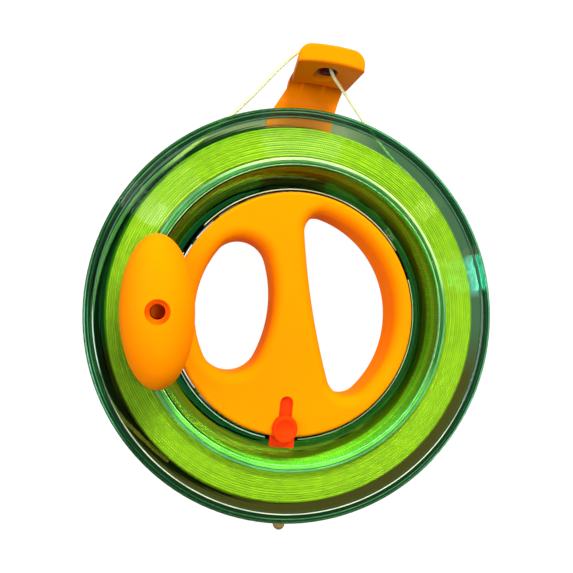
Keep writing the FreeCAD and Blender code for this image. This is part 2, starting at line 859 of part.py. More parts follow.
def knob_washer():
    base = boss_top - knob_foot
    disc = cylinder(washer_radius, Vector(0, 0, base), washer_thickness)
    hole = cylinder(axle_radius + axle_clearance, Vector(0, 0, base), washer_thickness)
    return at_knob(disc.cut(hole))


def knob_insert():
    base = boss_top - knob_foot - insert_length
    sleeve = cylinder(insert_radius, Vector(0, 0, base), insert_length)
    hole = cylinder(thread_radius + axle_clearance, Vector(0, 0, base), insert_length)
    return at_knob(sleeve.cut(hole))


# Line

def corner_arc(start, corner, end):
    """The arc that leaves start towards corner and arrives at end, both equally far off."""
    chord_middle = (start + end) / 2
    height = (corner - chord_middle).Length
    tangent = (corner - start).Length
    half_chord = (end - start).Length / 2
    radius = half_chord * tangent / height
    rise = radius * (1 - half_chord / tangent)
    return Part.Arc(start, chord_middle + (corner - chord_middle) / height * rise, end)


def tube(edges, start, direction, radius):
    """A round tube along joined edges."""
    profile = Part.Wire([Part.Circle(start, direction, radius).toShape()])
    shell = Part.BRepOffsetAPI.MakePipeShell(Part.Wire(edges))
    shell.add(profile)
    shell.build()
    shell.makeSolid()
    return shell.shape()


winding_radius = pack_radius - line_radius
winding_half = flange_inner - winding_bend - line_diameter
winding_pitch = 2 * winding_half / winding_turns


def helix_point(turns):
    return polar(winding_radius, stop_angle + 360 * turns,
                 joint_plane - winding_half + winding_pitch * turns)


def helix_direction(turns):
    way = polar(2 * math.pi * winding_radius, stop_angle + 90 + 360 * turns, winding_pitch)
    return way / way.Length


def biarc(start, start_way, end, end_way):
    """Two arcs between two points that keep the direction at each."""
    gap = end - start
    both = start_way + end_way
    square = 4 - both.dot(both)
    middle = 2 * gap.dot(both)
    length = (-middle + math.sqrt(middle ** 2 + 4 * square * gap.dot(gap))) / (2 * square)
    first, second = start + start_way * length, end - end_way * length
    joint = (first + second) / 2
    return [corner_arc(start, first, joint), corner_arc(joint, second, end)]


def line_outer_layer():
    """The pack's outer layer of turns, whose two ends turn square into the flanges."""
    arcs = []
    steps = 4 * winding_turns
    for number in range(steps):
        a, b = number / 4, (number + 1) / 4
        arcs += biarc(helix_point(a), helix_direction(a), helix_point(b), helix_direction(b))
    first, last = helix_point(0), helix_point(winding_turns)
    first_corner = first - helix_direction(0) * winding_bend
    last_corner = last + helix_direction(winding_turns) * winding_bend
    first_bend = first_corner + down * winding_bend
    last_bend = last_corner + up * winding_bend
    first_end = first_bend + down * line_diameter
    last_end = last_bend + up * line_diameter
    edges = [line_edge(first_end, first_bend),
             corner_arc(first_bend, first_corner, first).toShape()]
    edges += [arc.toShape() for arc in arcs]
    edges += [corner_arc(last, last_corner, last_bend).toShape(), line_edge(last_bend, last_end)]
    report_least_gap()
    solid = tube(edges, first_end, up, line_radius)
    report_volume("line_outer_layer", solid, edges, line_radius)
    return solid


def report_least_gap():
    """Measure the winding's least gap to itself on points along its turns."""
    per_turn = 36
    points = [helix_point(number / per_turn) for number in range(winding_turns * per_turn + 1)]
    least = min((points[first] - points[second]).Length
                for first in range(len(points))
                for second in range(first + per_turn // 2, min(first + 2 * per_turn, len(points))))
    print("line_outer_layer least gap to itself", round(least - line_diameter, 3))


def report_volume(name, solid, edges, radius):
    length = sum(edge.Length for edge in edges)
    section = math.pi * radius ** 2
    print(name, "length", round(length, 1), "volume", round(solid.Volume, 2),
          "section times length", round(section * length, 2))


def line_core():
    half = flange_inner - core_side_gap
    return ring(barrel_radius, pack_radius - line_diameter - winding_lift,
                joint_plane - half, joint_plane + half)


# Free line: from the pack, up through the eye, over the head and loosely round the left side
free_line_route = [polar(101.0, 43.0, 42.0), polar(101.7, 52.0, 42.6), Vector(42.6, 92.6, 42.2),
                   Vector(6.4, 134.7, 40.0), Vector(1.2, 148.6, 42.6), Vector(-13.8, 145.2, 43.4),
                   Vector(-43.4, 103.4, 44.4), Vector(-70.0, 76.2, 44.8), polar(104.2, 146.0, 44.6),
                   polar(104.6, 160.0, 43.8), polar(105.8, 175.0, 43.0), polar(107.0, 189.0, 42.6),
                   polar(108.0, 202.0, 43.0), polar(106.2, 213.0, 43.6), polar(103.0, 222.0, 44.2),
                   polar(101.7, 229.0, 44.4), polar(101.2, 234.5, 44.2)]


def rounded_route(name, points):
    """Straight runs joined by tangent arcs, each as large as its two runs allow."""
    edges = []
    radii = []
    start = points[0]
    for before, corner, after in zip(points, points[1:], points[2:]):
        shorter = min((corner - before).Length, (after - corner).Length)
        arriving = (corner - before).normalize()
        leaving = (after - corner).normalize()
        half_turn = arriving.getAngle(leaving) / 2
        tangent = 0.45 * shorter
        radii.append(round(tangent / math.tan(half_turn), 1))
        arc_start, arc_end = corner - arriving * tangent, corner + leaving * tangent
        edges.append(line_edge(start, arc_start))
        edges.append(corner_arc(arc_start, corner, arc_end).toShape())
        start = arc_end
    edges.append(line_edge(start, points[-1]))
    print(name, "radii", radii)
    return edges


def free_line():
    edges = rounded_route("free_line", free_line_route)
    way = (free_line_route[1] - free_line_route[0]).normalize()
    solid = tube(edges, free_line_route[0], way, free_line_radius)
    report_volume("free_line", solid, edges, free_line_radius)
    return solid


os.makedirs("parts", exist_ok=True)

handle_screw_places = screw_places(bridge_handle_screws, outer_handle_screws)
arm_screw_places = screw_places(bridge_arm_screws, outer_arm_screws)
handle = handle_body()
save("handle_front_shell", handle_front_shell(handle))
save("handle_back_shell", handle_back_shell(handle))
save("handle_screws", screw_group(
    place(handle_screw_places, handle_back + screw_sink), up,
    joint_plane - handle_back - screw_sink + screw_grip,
    screw_radius, screw_head_radius, screw_head_height))
save("guide_arm", guide_arm())
save("guide_arm_screws", screw_group(
    place(arm_screw_places, arm_screw_seat - screw_head_height), up,
    handle_back - arm_screw_seat + screw_head_height + screw_grip,
    screw_radius, screw_head_radius, screw_head_height))
save("eyelet_ring", eyelet_ring())
save("lock_slider", lock_slider())
save("lock_button", lock_button())
save("lock_keeper", lock_keeper())
save("lock_keeper_screws", screw_group(
    place(keeper_screw_points(), roof_z - keeper_thickness - small_head_height), up,
    small_head_height + keeper_thickness + small_screw_grip,
    small_screw_radius, small_head_radius, small_head_height))
save("lock_detent_spring", lock_detent_spring())
save("ball_cage", ball_cage())
save("bearing_balls", bearing_balls())
save("wheel_front_half", wheel_front_half())
save("wheel_back_half", wheel_back_half())
save("catch_stud", catch_stud())
save("knob", knob())
save("knob_axle_screw", knob_axle_screw())
save("knob_washer", knob_washer())
save("knob_insert", knob_insert())
save("line_core", line_core())
save("line_outer_layer", line_outer_layer())
save("free_line", free_line())
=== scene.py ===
import bpy
import math
from mathutils import Matrix, Quaternion, Vector, noise


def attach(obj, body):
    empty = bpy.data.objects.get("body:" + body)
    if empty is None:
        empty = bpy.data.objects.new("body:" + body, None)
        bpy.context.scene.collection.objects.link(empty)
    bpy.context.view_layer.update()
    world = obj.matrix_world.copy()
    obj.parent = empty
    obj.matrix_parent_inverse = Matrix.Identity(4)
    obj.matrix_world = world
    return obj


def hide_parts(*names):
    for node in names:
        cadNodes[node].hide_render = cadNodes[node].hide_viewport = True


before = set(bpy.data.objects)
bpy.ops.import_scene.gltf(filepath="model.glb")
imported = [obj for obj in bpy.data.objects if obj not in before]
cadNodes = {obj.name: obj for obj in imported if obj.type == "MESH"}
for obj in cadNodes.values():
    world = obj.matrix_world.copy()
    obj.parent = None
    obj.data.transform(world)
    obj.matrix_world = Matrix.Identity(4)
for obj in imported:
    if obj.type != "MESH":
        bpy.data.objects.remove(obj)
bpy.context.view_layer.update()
mm = 0.001
print("frame loaded", len(cadNodes), "nodes")


# small tools

def polar(radius, degrees, z=0.0):
    turn = math.radians(degrees)
    return Vector((radius * math.cos(turn), radius * math.sin(turn), z))


def smoothShare(value, low, high):
    share = min(max((value - low) / (high - low), 0.0), 1.0)
    return share * share * (3 - 2 * share)


def linkObject(name, data):
    obj = bpy.data.objects.new(name, data)
    bpy.context.scene.collection.objects.link(obj)
    return obj


def meshObject(name, points, faces, smooth=True):
    data = bpy.data.meshes.new(name)
    data.from_pydata([tuple(p) for p in points], [], faces)
    data.update()
    for face in data.polygons:
        face.use_smooth = smooth
    return linkObject(name, data)


def latheObject(name, outline, segments=256):   # outline in mm, as radius and Z
    points, faces = [], []
    count = len(outline)
    for step in range(segments):
        for radius, z in outline:
            points.append(polar(radius * mm, 360 * step / segments, z * mm))
    for step in range(segments):
        following = (step + 1) % segments
        for index in range(count):
            after = (index + 1) % count
            faces.append((step * count + index, following * count + index,
                          following * count + after, step * count + after))
    return meshObject(name, points, faces)


def giveMaterial(obj, material):
    obj.data.materials.clear()
    obj.data.materials.append(material)


def dressNode(name, material):
    node = cadNodes[name]
    if not node.material_slots:
        node.data.materials.append(material)
    for slot in node.material_slots:
        slot.material = material


# camera

photoCamera = {
    "target": (-0.008054, 0.013832, 0.051),   # on the front rim's plane
    "distance": 0.350,
    "azimuth": -10.768,
    "elevation": -2.496,
    "roll": 6.142,
    "lens": 41.73,
    "sensor": 36.0,
    "clipStart": 0.01,
}


def setCamera(s):
    az, el, roll = (math.radians(s[key]) for key in ("azimuth", "elevation", "roll"))
    back = Vector((math.sin(az) * math.cos(el), math.sin(el), math.cos(az) * math.cos(el)))
    flatRight = Vector((0, 1, 0)).cross(back).normalized()
    flatUp = back.cross(flatRight)
    right = math.cos(roll) * flatRight + math.sin(roll) * flatUp
    top = -math.sin(roll) * flatRight + math.cos(roll) * flatUp
    place = Vector(s["target"]) + back * s["distance"]
    data = bpy.data.cameras.new("photoCamera")
    data.lens = s["lens"]
    data.sensor_width = s["sensor"]
    data.clip_start = s["clipStart"]
    camera = linkObject("photoCamera", data)
    camera.matrix_world = Matrix((
        (right.x, top.x, back.x, place.x),
        (right.y, top.y, back.y, place.y),
        (right.z, top.z, back.z, place.z),
        (0, 0, 0, 1)))
    bpy.context.scene.camera = camera


setCamera(photoCamera)
print("camera set")


# node tools

def mathNode(tree, operation, first, second=None):
    node = tree.nodes.new("ShaderNodeMath")
    node.operation = operation
    for index, value in enumerate((first, second)):
        if value is None:
            continue
        if isinstance(value, (int, float)):
            node.inputs[index].default_value = value
        else:
            tree.links.new(value, node.inputs[index])
    return node.outputs[0]


def rangeNode(tree, source, fromLow, fromHigh, toLow, toHigh):
    node = tree.nodes.new("ShaderNodeMapRange")
    for label, value in (("From Min", fromLow), ("From Max", fromHigh),
                         ("To Min", toLow), ("To Max", toHigh)):
        node.inputs[label].default_value = value
    tree.links.new(source, node.inputs["Value"])
    return node.outputs["Result"]


def waveNode(tree, turns):   # one full wave for each turn
    return mathNode(tree, "SINE", mathNode(tree, "MULTIPLY", turns, 2 * math.pi))


def lightPathMix(tree, rays, forOthers, forThem):   # one value for these rays, one for all others
    path = tree.nodes.new("ShaderNodeLightPath")
    return rangeNode(tree, path.outputs[rays], 0.0, 1.0, forOthers, forThem)


def objectPlace(tree):
    return tree.nodes.new("ShaderNodeTexCoord").outputs["Object"]


def splitPlace(tree, place):
    split = tree.nodes.new("ShaderNodeSeparateXYZ")
    tree.links.new(place, split.inputs[0])
    return split.outputs


def noiseNode(tree, place, detail=2.0, roughness=0.5):
    node = tree.nodes.new("ShaderNodeTexNoise")
    node.inputs["Detail"].default_value = detail
    node.inputs["Roughness"].default_value = roughness
    tree.links.new(place, node.inputs["Vector"])
    return node


def attributeNode(tree, name):
    node = tree.nodes.new("ShaderNodeAttribute")
    node.attribute_name = name
    return node.outputs["Fac"]


def bandMask(tree, source, lows, highs):   # rises over the lows and falls over the highs, in mm
    rise = rangeNode(tree, source, lows[0] * mm, lows[1] * mm, 0.0, 1.0)
    fall = rangeNode(tree, source, highs[0] * mm, highs[1] * mm, 1.0, 0.0)
    return mathNode(tree, "MULTIPLY", rise, fall)


def colourRamp(tree, source, stops):
    ramp = tree.nodes.new("ShaderNodeValToRGB")
    points = ramp.color_ramp.elements
    while len(points) < len(stops):
        points.new(0.5)   # anywhere, because each point gets its place below
    for point, (place, colour) in zip(points, stops):
        point.position = place
        point.color = (*colour, 1.0)
    tree.links.new(source, ramp.inputs["Fac"])
    return ramp.outputs["Color"]


def mixColour(tree, share, first, second, blend="MIX"):
    node = tree.nodes.new("ShaderNodeMix")
    node.data_type = "RGBA"
    node.blend_type = blend
    tree.links.new(share, node.inputs["Factor"])
    for label, value in (("A", first), ("B", second)):
        socket = [entry for entry in node.inputs if entry.name == label and entry.type == "RGBA"][0]
        if isinstance(value, tuple):
            socket.default_value = (*value, 1.0)
        else:
            tree.links.new(value, socket)
    return [entry for entry in node.outputs if entry.type == "RGBA"][0]


# shared node groups

def newGroup(name, inputs, outputs):   # every socket is a plain number
    tree = bpy.data.node_groups.new(name, "ShaderNodeTree")
    for label, value in inputs.items():
        socket = tree.interface.new_socket(name=label, in_out="INPUT", socket_type="NodeSocketFloat")
        socket.default_value = value
    for label in outputs:
        tree.interface.new_socket(name=label, in_out="OUTPUT", socket_type="NodeSocketFloat")
    start = tree.nodes.new("NodeGroupInput")
    end = tree.nodes.new("NodeGroupOutput")
    return tree, start, end


def makeMouldGrain(fineDetail=3.0, fineRoughness=0.6):
    tree, start, end = newGroup("mouldGrain", {"Scale": 900.0, "Patch": 18.0}, ["Height", "Mask"])
    place = objectPlace(tree)
    fine = noiseNode(tree, place, fineDetail, fineRoughness)
    broad = noiseNode(tree, place)
    for texture, size, result in ((fine, "Scale", "Height"), (broad, "Patch", "Mask")):
        tree.links.new(start.outputs[size], texture.inputs["Scale"])
        tree.links.new(texture.outputs["Fac"], end.inputs[result])
    return tree


def makeTurnedRings(strayScale=30.0):
    tree, start, end = newGroup("turnedRings", {"Pitch": 0.0012, "Wobble": 0.0002},
                                ["Height", "Radius"])
    place = objectPlace(tree)
    across = splitPlace(tree, place)
    square = mathNode(tree, "ADD", mathNode(tree, "POWER", across["X"], 2.0),
                      mathNode(tree, "POWER", across["Y"], 2.0))
    radius = mathNode(tree, "SQRT", square)
    stray = noiseNode(tree, place)
    stray.inputs["Scale"].default_value = strayScale
    shift = mathNode(tree, "MULTIPLY", stray.outputs["Fac"], start.outputs["Wobble"])
    turns = mathNode(tree, "DIVIDE", mathNode(tree, "ADD", radius, shift), start.outputs["Pitch"])
    tree.links.new(waveNode(tree, turns), end.inputs["Height"])
    tree.links.new(radius, end.inputs["Radius"])
    return tree


def makeLitArc():   # a soft-ended stretch of a ring, in degrees from +X anticlockwise
    tree, start, end = newGroup("litArc", {"Centre": 0.0, "Half": 30.0, "Soft": 10.0}, ["Mask"])
    halfTurn = 0.5
    across = splitPlace(tree, objectPlace(tree))
    turned = mathNode(tree, "ARCTAN2", across["Y"], across["X"])
    centre = mathNode(tree, "RADIANS", start.outputs["Centre"])
    turns = mathNode(tree, "DIVIDE", mathNode(tree, "SUBTRACT", turned, centre), 2 * math.pi)
    wrapped = mathNode(tree, "FRACT", mathNode(tree, "ADD", turns, halfTurn))
    away = mathNode(tree, "ABSOLUTE", mathNode(tree, "SUBTRACT", wrapped, halfTurn))
    past = mathNode(tree, "SUBTRACT", mathNode(tree, "MULTIPLY", away, 360), start.outputs["Half"])
    faded = mathNode(tree, "DIVIDE", past, start.outputs["Soft"])
    tree.links.new(rangeNode(tree, faded, 0.0, 1.0, 1.0, 0.0), end.inputs["Mask"])
    return tree


def makeLineLay(fuzzScale=260.0):
    tree, start, end = newGroup("lineLay", {"Strands": 3.0, "Lay": 0.003},
                                ["Height", "Mask", "Crown"])
    steps = mathNode(tree, "DIVIDE", attributeNode(tree, "alongLine"), start.outputs["Lay"])
    strands = mathNode(tree, "MULTIPLY", attributeNode(tree, "aroundLine"), start.outputs["Strands"])
    leftLaid = waveNode(tree, mathNode(tree, "ADD", steps, strands))
    rightLaid = waveNode(tree, mathNode(tree, "SUBTRACT", steps, strands))
    fuzz = noiseNode(tree, objectPlace(tree))
    fuzz.inputs["Scale"].default_value = fuzzScale
    tree.links.new(mathNode(tree, "MAXIMUM", leftLaid, rightLaid), end.inputs["Height"])
    tree.links.new(fuzz.outputs["Fac"], end.inputs["Mask"])
    tree.links.new(attributeNode(tree, "crown"), end.inputs["Crown"])
    return tree


mouldGrain = makeMouldGrain()
turnedRings = makeTurnedRings()
litArc = makeLitArc()
lineLay = makeLineLay()
print("node groups made")


# materials

def newMaterial(name, **values):
    material = bpy.data.materials.new(name)
    material.use_nodes = True
    tree = material.node_tree
    shader = tree.nodes["Principled BSDF"]
    for label, value in values.items():
        shader.inputs[label.replace("_", " ")].default_value = value
    return material, tree, shader


def placeGroup(tree, group, **values):
    node = tree.nodes.new("ShaderNodeGroup")
    node.node_tree = group
    for label, value in values.items():
        node.inputs[label].default_value = value
    return node


def addBump(tree, shader, height, strength, depth):
    bump = tree.nodes.new("ShaderNodeBump")
    bump.inputs["Strength"].default_value = strength
    bump.inputs["Distance"].default_value = depth * mm
    tree.links.new(height, bump.inputs["Height"])
    tree.links.new(bump.outputs["Normal"], shader.inputs["Normal"])


# opaque plastics and metals

skins = {   # toneSpan and roughSpan: noise values between which the tone and the roughness change
    "moulded": {
        "metallic": 0.0, "specular": 0.5, "scale": 1400.0, "patch": 25.0, "toneSpan": (0.35, 0.65),
        "roughBy": "Mask", "roughSpan": (0.3, 0.7), "roughShares": (0.9, 1.12),
        "grain": 0.12, "grainDepth": 0.2,
    },
    "metal": {
        "metallic": 1.0, "specular": 0.5, "scale": 2600.0, "patch": 160.0, "toneSpan": (0.3, 0.7),
        "roughBy": "Height", "roughSpan": (0.3, 0.7), "roughShares": (0.8, 1.3),
        "grain": 0.08, "grainDepth": 0.1,
    },
}
solidLooks = {   # each takes its skin's values, apart from those that it names itself
    "orangePlastic": {"skin": "moulded", "light": (1.0, 0.256, 0.0), "dark": (0.98, 0.243, 0.0),
                      "roughness": 0.55, "specular": 0.02},
    "orangeSatin": {"skin": "moulded", "light": (1.0, 0.240, 0.0), "dark": (0.98, 0.228, 0.0),
                    "roughness": 0.34, "grain": 0.05, "specular": 0.03},
    "redPlastic": {"skin": "moulded", "light": (0.92, 0.043, 0.001), "dark": (0.87, 0.037, 0.001),
                   "roughness": 0.4, "specular": 0.04},
    "capOrange": {"skin": "moulded", "light": (1.0, 0.26, 0.0), "dark": (0.90, 0.22, 0.0),
                  "roughness": 0.6, "specular": 0.05},
    "greyNylon": {"skin": "moulded", "light": (0.55, 0.56, 0.55), "dark": (0.48, 0.49, 0.48),
                  "roughness": 0.5},
    "brownStud": {"skin": "moulded", "light": (0.32, 0.19, 0.07), "dark": (0.18, 0.10, 0.03),
                  "roughness": 0.25},
    "darkEyelet": {"skin": "moulded", "light": (0.10, 0.004, 0.008), "dark": (0.05, 0.002, 0.004),
                   "roughness": 0.3, "grain": 0.03, "specular": 0.4},
    # darker lime for the pack's core, painted dark for the shade between the turns
    "limeShade": {"skin": "moulded", "light": (0.22, 0.40, 0.004), "dark": (0.16, 0.31, 0.003),
                  "roughness": 0.8, "specular": 0.05},
    "ribbedGreen": {"skin": "moulded", "light": (0.30, 0.78, 0.20), "dark": (0.20, 0.62, 0.13),
                    "roughness": 0.25},
    "zincSteel": {"skin": "metal", "light": (0.62, 0.62, 0.62), "dark": (0.48, 0.48, 0.49),
                  "roughness": 0.3},
    "ballSteel": {"skin": "metal", "light": (0.78, 0.78, 0.79), "dark": (0.68, 0.68, 0.70),
                  "roughness": 0.12},
    "turnedBrass": {"skin": "metal", "light": (0.75, 0.52, 0.22), "dark": (0.55, 0.36, 0.14),
                    "roughness": 0.28},
}


def solidMaterial(name, look):
    s = {**skins[look["skin"]], **look}
    material, tree, shader = newMaterial(name, Roughness=s["roughness"], Metallic=s["metallic"],
                                         Specular_IOR_Level=s["specular"])
    texture = placeGroup(tree, mouldGrain, Scale=s["scale"], Patch=s["patch"])
    stops = list(zip(s["toneSpan"], (s["dark"], s["light"])))
    colour = colourRamp(tree, texture.outputs["Mask"], stops)
    tree.links.new(colour, shader.inputs["Base Color"])
    least, most = (s["roughness"] * share for share in s["roughShares"])
    rough = rangeNode(tree, texture.outputs[s["roughBy"]], *s["roughSpan"], least, most)
    tree.links.new(rough, shader.inputs["Roughness"])
    addBump(tree, shader, texture.outputs["Height"], s["grain"], s["grainDepth"])
    return material


# painted shade in the hollow of the bend under the guide head

armRecessPaintedShade = {   # places in mm
    "shade": (0.42, 0.040, 0.0),
    "inward": (127.0, 134.0),   # Y where the painted shade starts and is full
    "upward": (7.0, 19.0),      # Z likewise
    "roof": (20.0, 20.3),       # Z where it ends
    "eyeX": 2.6,
    "ribs": (5.5, 5.7, 7.3, 7.5),   # the two ribs are left out of the painted shade, this far each side of the eye
}


def paintRecessShade(material, s):
    tree = material.node_tree
    socket = tree.nodes["Principled BSDF"].inputs["Base Color"]
    plain = socket.links[0].from_socket
    place = splitPlace(tree, objectPlace(tree))
    inner, outer = s["inward"]
    deep = rangeNode(tree, place["Y"], inner * mm, outer * mm, 0.0, 1.0)
    below = bandMask(tree, place["Z"], s["upward"], s["roof"])
    fromEye = mathNode(tree, "ABSOLUTE", mathNode(tree, "SUBTRACT", place["X"], s["eyeX"] * mm))
    ribs = bandMask(tree, fromEye, s["ribs"][:2], s["ribs"][2:])
    hollow = mathNode(tree, "MULTIPLY", deep, below)
    share = mathNode(tree, "MULTIPLY", hollow, mathNode(tree, "SUBTRACT", 1.0, ribs))
    # the plain colour is mixed toward the shade colour: painted shade in the hollow
    tree.links.new(mixColour(tree, share, plain, s["shade"]), socket)


# clear green of the wheel

greens = {   # the wheel's tones: its own greens, and tones for the reflections, highlights and shade painted on it
    "bottle": (0.03, 0.12, 0.05),
    "forest": (0.06, 0.24, 0.10),
    "pine": (0.10, 0.34, 0.14),
    "slate": (0.20, 0.48, 0.22),
    "leaf": (0.22, 0.72, 0.14),
    "lime": (0.50, 0.92, 0.26),
    "sage": (0.40, 0.62, 0.30),
    "olive": (0.22, 0.23, 0.04),
    "moss": (0.88, 0.98, 0.13),
    "jade": (0.11, 0.52, 0.24),
    "mint": (0.36, 0.86, 0.64),
    "ice": (0.60, 0.92, 0.80),
    "haze": (0.64, 0.92, 0.40),
    "cream": (0.66, 0.68, 0.44),
    "clear": (0.93, 1.0, 0.80),
    "dusk": (0.26, 0.44, 0.34),
    "full": (1.0, 1.0, 1.0),
}
clearGreenLook = {   # radii in mm, and arcs as tone, centre, half width and soft end in degrees
    "innerRadius": 66.0,
    "outerRadius": 110.0,
    "rings": [   # tone by radius, from the bore to the rim: the plastic's tint, with painted dark and light reflections in bands
        (66.0, "jade"), (72.0, "jade"), (73.0, "moss"), (77.0, "moss"), (77.8, "lime"),
        (81.0, "lime"), (84.0, "clear"), (98.6, "clear"), (99.2, "slate"), (104.2, "slate"),
        (105.4, "bottle"), (108.4, "bottle"), (110.0, "slate"),
    ],
    "beside": (98.6, 99.2, 104.0, 104.8),   # the clear ring beside the pack
    "besideBase": "slate",
    # painted reflections and glints in stretches of the ring beside the pack
    "besidePaintedReflections": [("olive", 272, 74, 16), ("pine", 165, 24, 12), ("haze", 105, 22, 14),
                   ("mint", 18, 5.5, 1.5)],
    "coneFoot": (72.2, 72.8),    # the cone's painted shade starts here
    "coneSeam": (75.9, 76.2),    # and stops for an olive ring that keeps its full light
    "cone": (77.2, 77.5, 80.0, 81.5),   # and covers this band past the ring
    "conePaintedShade": "dusk",
    # the stretch where the cone would be lit, where the painted shade is lifted
    "coneUnshadedArcs": [("full", 262, 30, 50)],
    "roughness": 0.03,
    "ior": 1.46,
    "turnPitch": 1.1,      # faint turned rings in the surface
    "turnWobble": 0.2,
    "turnBump": 0.05,
    "turnDepth": 0.1,
    "shadowPass": 0.85,    # share of a light's straight rays that the clear plastic lets by
}


def arcTones(tree, base, arcs):
    tone = greens[base]
    for name, centre, half, soft in arcs:
        arc = placeGroup(tree, litArc, Centre=centre, Half=half, Soft=soft)
        tone = mixColour(tree, arc.outputs["Mask"], tone, greens[name])
    return tone


def clearGreenMaterial(name, s):
    material, tree, shader = newMaterial(name, Roughness=s["roughness"], IOR=s["ior"],
                                         Transmission_Weight=1.0)
    turned = placeGroup(tree, turnedRings, Pitch=s["turnPitch"] * mm, Wobble=s["turnWobble"] * mm)
    radius = turned.outputs["Radius"]
    inner, outer = s["innerRadius"], s["outerRadius"]
    share = rangeNode(tree, radius, inner * mm, outer * mm, 0.0, 1.0)
    # the tint by radius carries painted reflections, and the ring beside the pack gets painted
    # reflections in stretches
    stops = [((at - inner) / (outer - inner), greens[tone]) for at, tone in s["rings"]]
    beside = bandMask(tree, radius, s["beside"][:2], s["beside"][2:])
    toned = mixColour(tree, beside, colourRamp(tree, share, stops),
                      arcTones(tree, s["besideBase"], s["besidePaintedReflections"]))
    # painted shade over the cone, lifted on the stretch where it would be lit
    beforeSeam = bandMask(tree, radius, s["coneFoot"], s["coneSeam"])
    afterSeam = bandMask(tree, radius, s["cone"][:2], s["cone"][2:])
    shade = arcTones(tree, s["conePaintedShade"], s["coneUnshadedArcs"])
    shaded = mixColour(tree, mathNode(tree, "ADD", beforeSeam, afterSeam), toned, shade,
                       blend="MULTIPLY")
    tree.links.new(shaded, shader.inputs["Base Color"])
    tree.links.new(lightPathMix(tree, "Is Shadow Ray", 1.0, 1.0 - s["shadowPass"]),
                   shader.inputs["Alpha"])
    addBump(tree, shader, turned.outputs["Height"], s["turnBump"], s["turnDepth"])
    return material


paintedHighlightSkin = {   # painted highlights on the moulding's edges, dimmed in noisy patches
    "roughness": 0.2,
    "scale": 900.0,
    "patch": 60.0,
    "dimmedSpan": (0.42, 0.60),
    "dimmed": 0.35,
    "dimmedTone": "bottle",
    "grain": 0.05,
    "grainDepth": 0.1,
}


def paintedHighlightMaterial(name, base, arcs, s=paintedHighlightSkin):
    material, tree, shader = newMaterial(name, Roughness=s["roughness"])
    texture = placeGroup(tree, mouldGrain, Scale=s["scale"], Patch=s["patch"])
    dimmed = rangeNode(tree, texture.outputs["Mask"], *s["dimmedSpan"], 0.0, s["dimmed"])
    toned = mixColour(tree, dimmed, arcTones(tree, base, arcs), greens[s["dimmedTone"]])
    tree.links.new(toned, shader.inputs["Base Color"])
    addBump(tree, shader, texture.outputs["Height"], s["grain"], s["grainDepth"])
    return material


# braided line

lineSkin = {
    "roughness": 0.6,
    "sheen": 0.1,
    "specular": 0.15,
    "toneSpan": (0.35, 0.62),
    "gapSpan": (-0.2, 0.8),   # height of the braid between which the painted shade in its gaps fades
    "gapShade": 0.75,
    "sunkSpan": (0.1, 0.8),   # crown between which a turn comes out of the painted shade of its neighbours
    "grain": 0.5,
    "grainDepth": 0.2,
}
lineLooks = {
    "limeLine": {"light": (0.345, 0.560, 0.003), "dark": (0.255, 0.440, 0.002),
                 "grooveShade": (0.060, 0.165, 0.001), "lay": 1.2, "strands": 3.0, "sunkShade": 0.9},
    "paleLine": {"light": (0.98, 0.95, 0.60), "dark": (0.92, 0.89, 0.52),
                 "grooveShade": (0.66, 0.62, 0.28), "lay": 2.2, "strands": 3.0, "sunkShade": 0.0},
}


def lineMaterial(name, look):
    s = {**lineSkin, **look}
    material, tree, shader = newMaterial(name, Roughness=s["roughness"], Sheen_Weight=s["sheen"],
                                         Specular_IOR_Level=s["specular"])
    weave = placeGroup(tree, lineLay, Lay=s["lay"] * mm, Strands=s["strands"])
    stops = list(zip(s["toneSpan"], (s["dark"], s["light"])))
    tone = colourRamp(tree, weave.outputs["Mask"], stops)
    # painted shade: the braid's gaps and the turns sunk between others are darkened toward the
    # groove shade tone
    gaps = rangeNode(tree, weave.outputs["Height"], *s["gapSpan"], s["gapShade"], 0.0)
    sunk = rangeNode(tree, weave.outputs["Crown"], *s["sunkSpan"], s["sunkShade"], 0.0)
    share = mathNode(tree, "MAXIMUM", gaps, sunk)
    tree.links.new(mixColour(tree, share, tone, s["grooveShade"]), shader.inputs["Base Color"])
    addBump(tree, shader, weave.outputs["Height"], s["grain"], s["grainDepth"])
    return material


looks = {name: solidMaterial(name, look) for name, look in solidLooks.items()}
for name, look in lineLooks.items():
    looks[name] = lineMaterial(name, look)
looks["clearGreen"] = clearGreenMaterial("clearGreen", clearGreenLook)
paintRecessShade(looks["orangeSatin"], armRecessPaintedShade)
print("materials made")

nodesByLook = {
    "orangePlastic": ["handle_front_shell", "handle_back_shell", "knob"],
    "orangeSatin": ["guide_arm"],
    "redPlastic": ["lock_slider", "lock_button"],
    "capOrange": ["knob_axle_screw"],
    "greyNylon": ["lock_keeper", "ball_cage", "knob_washer"],
    "brownStud": ["catch_stud"],
    "darkEyelet": ["eyelet_ring"],
    "zincSteel": ["handle_screws", "guide_arm_screws", "lock_keeper_screws", "lock_detent_spring"],
    "ballSteel": ["bearing_balls"],
    "turnedBrass": ["knob_insert"],
    "clearGreen": ["wheel_front_half", "wheel_back_half"],
}
for look, nodeNames in nodesByLook.items():
    for nodeName in nodeNames:
        dressNode(nodeName, looks[look])
print("CAD nodes dressed")


# free line

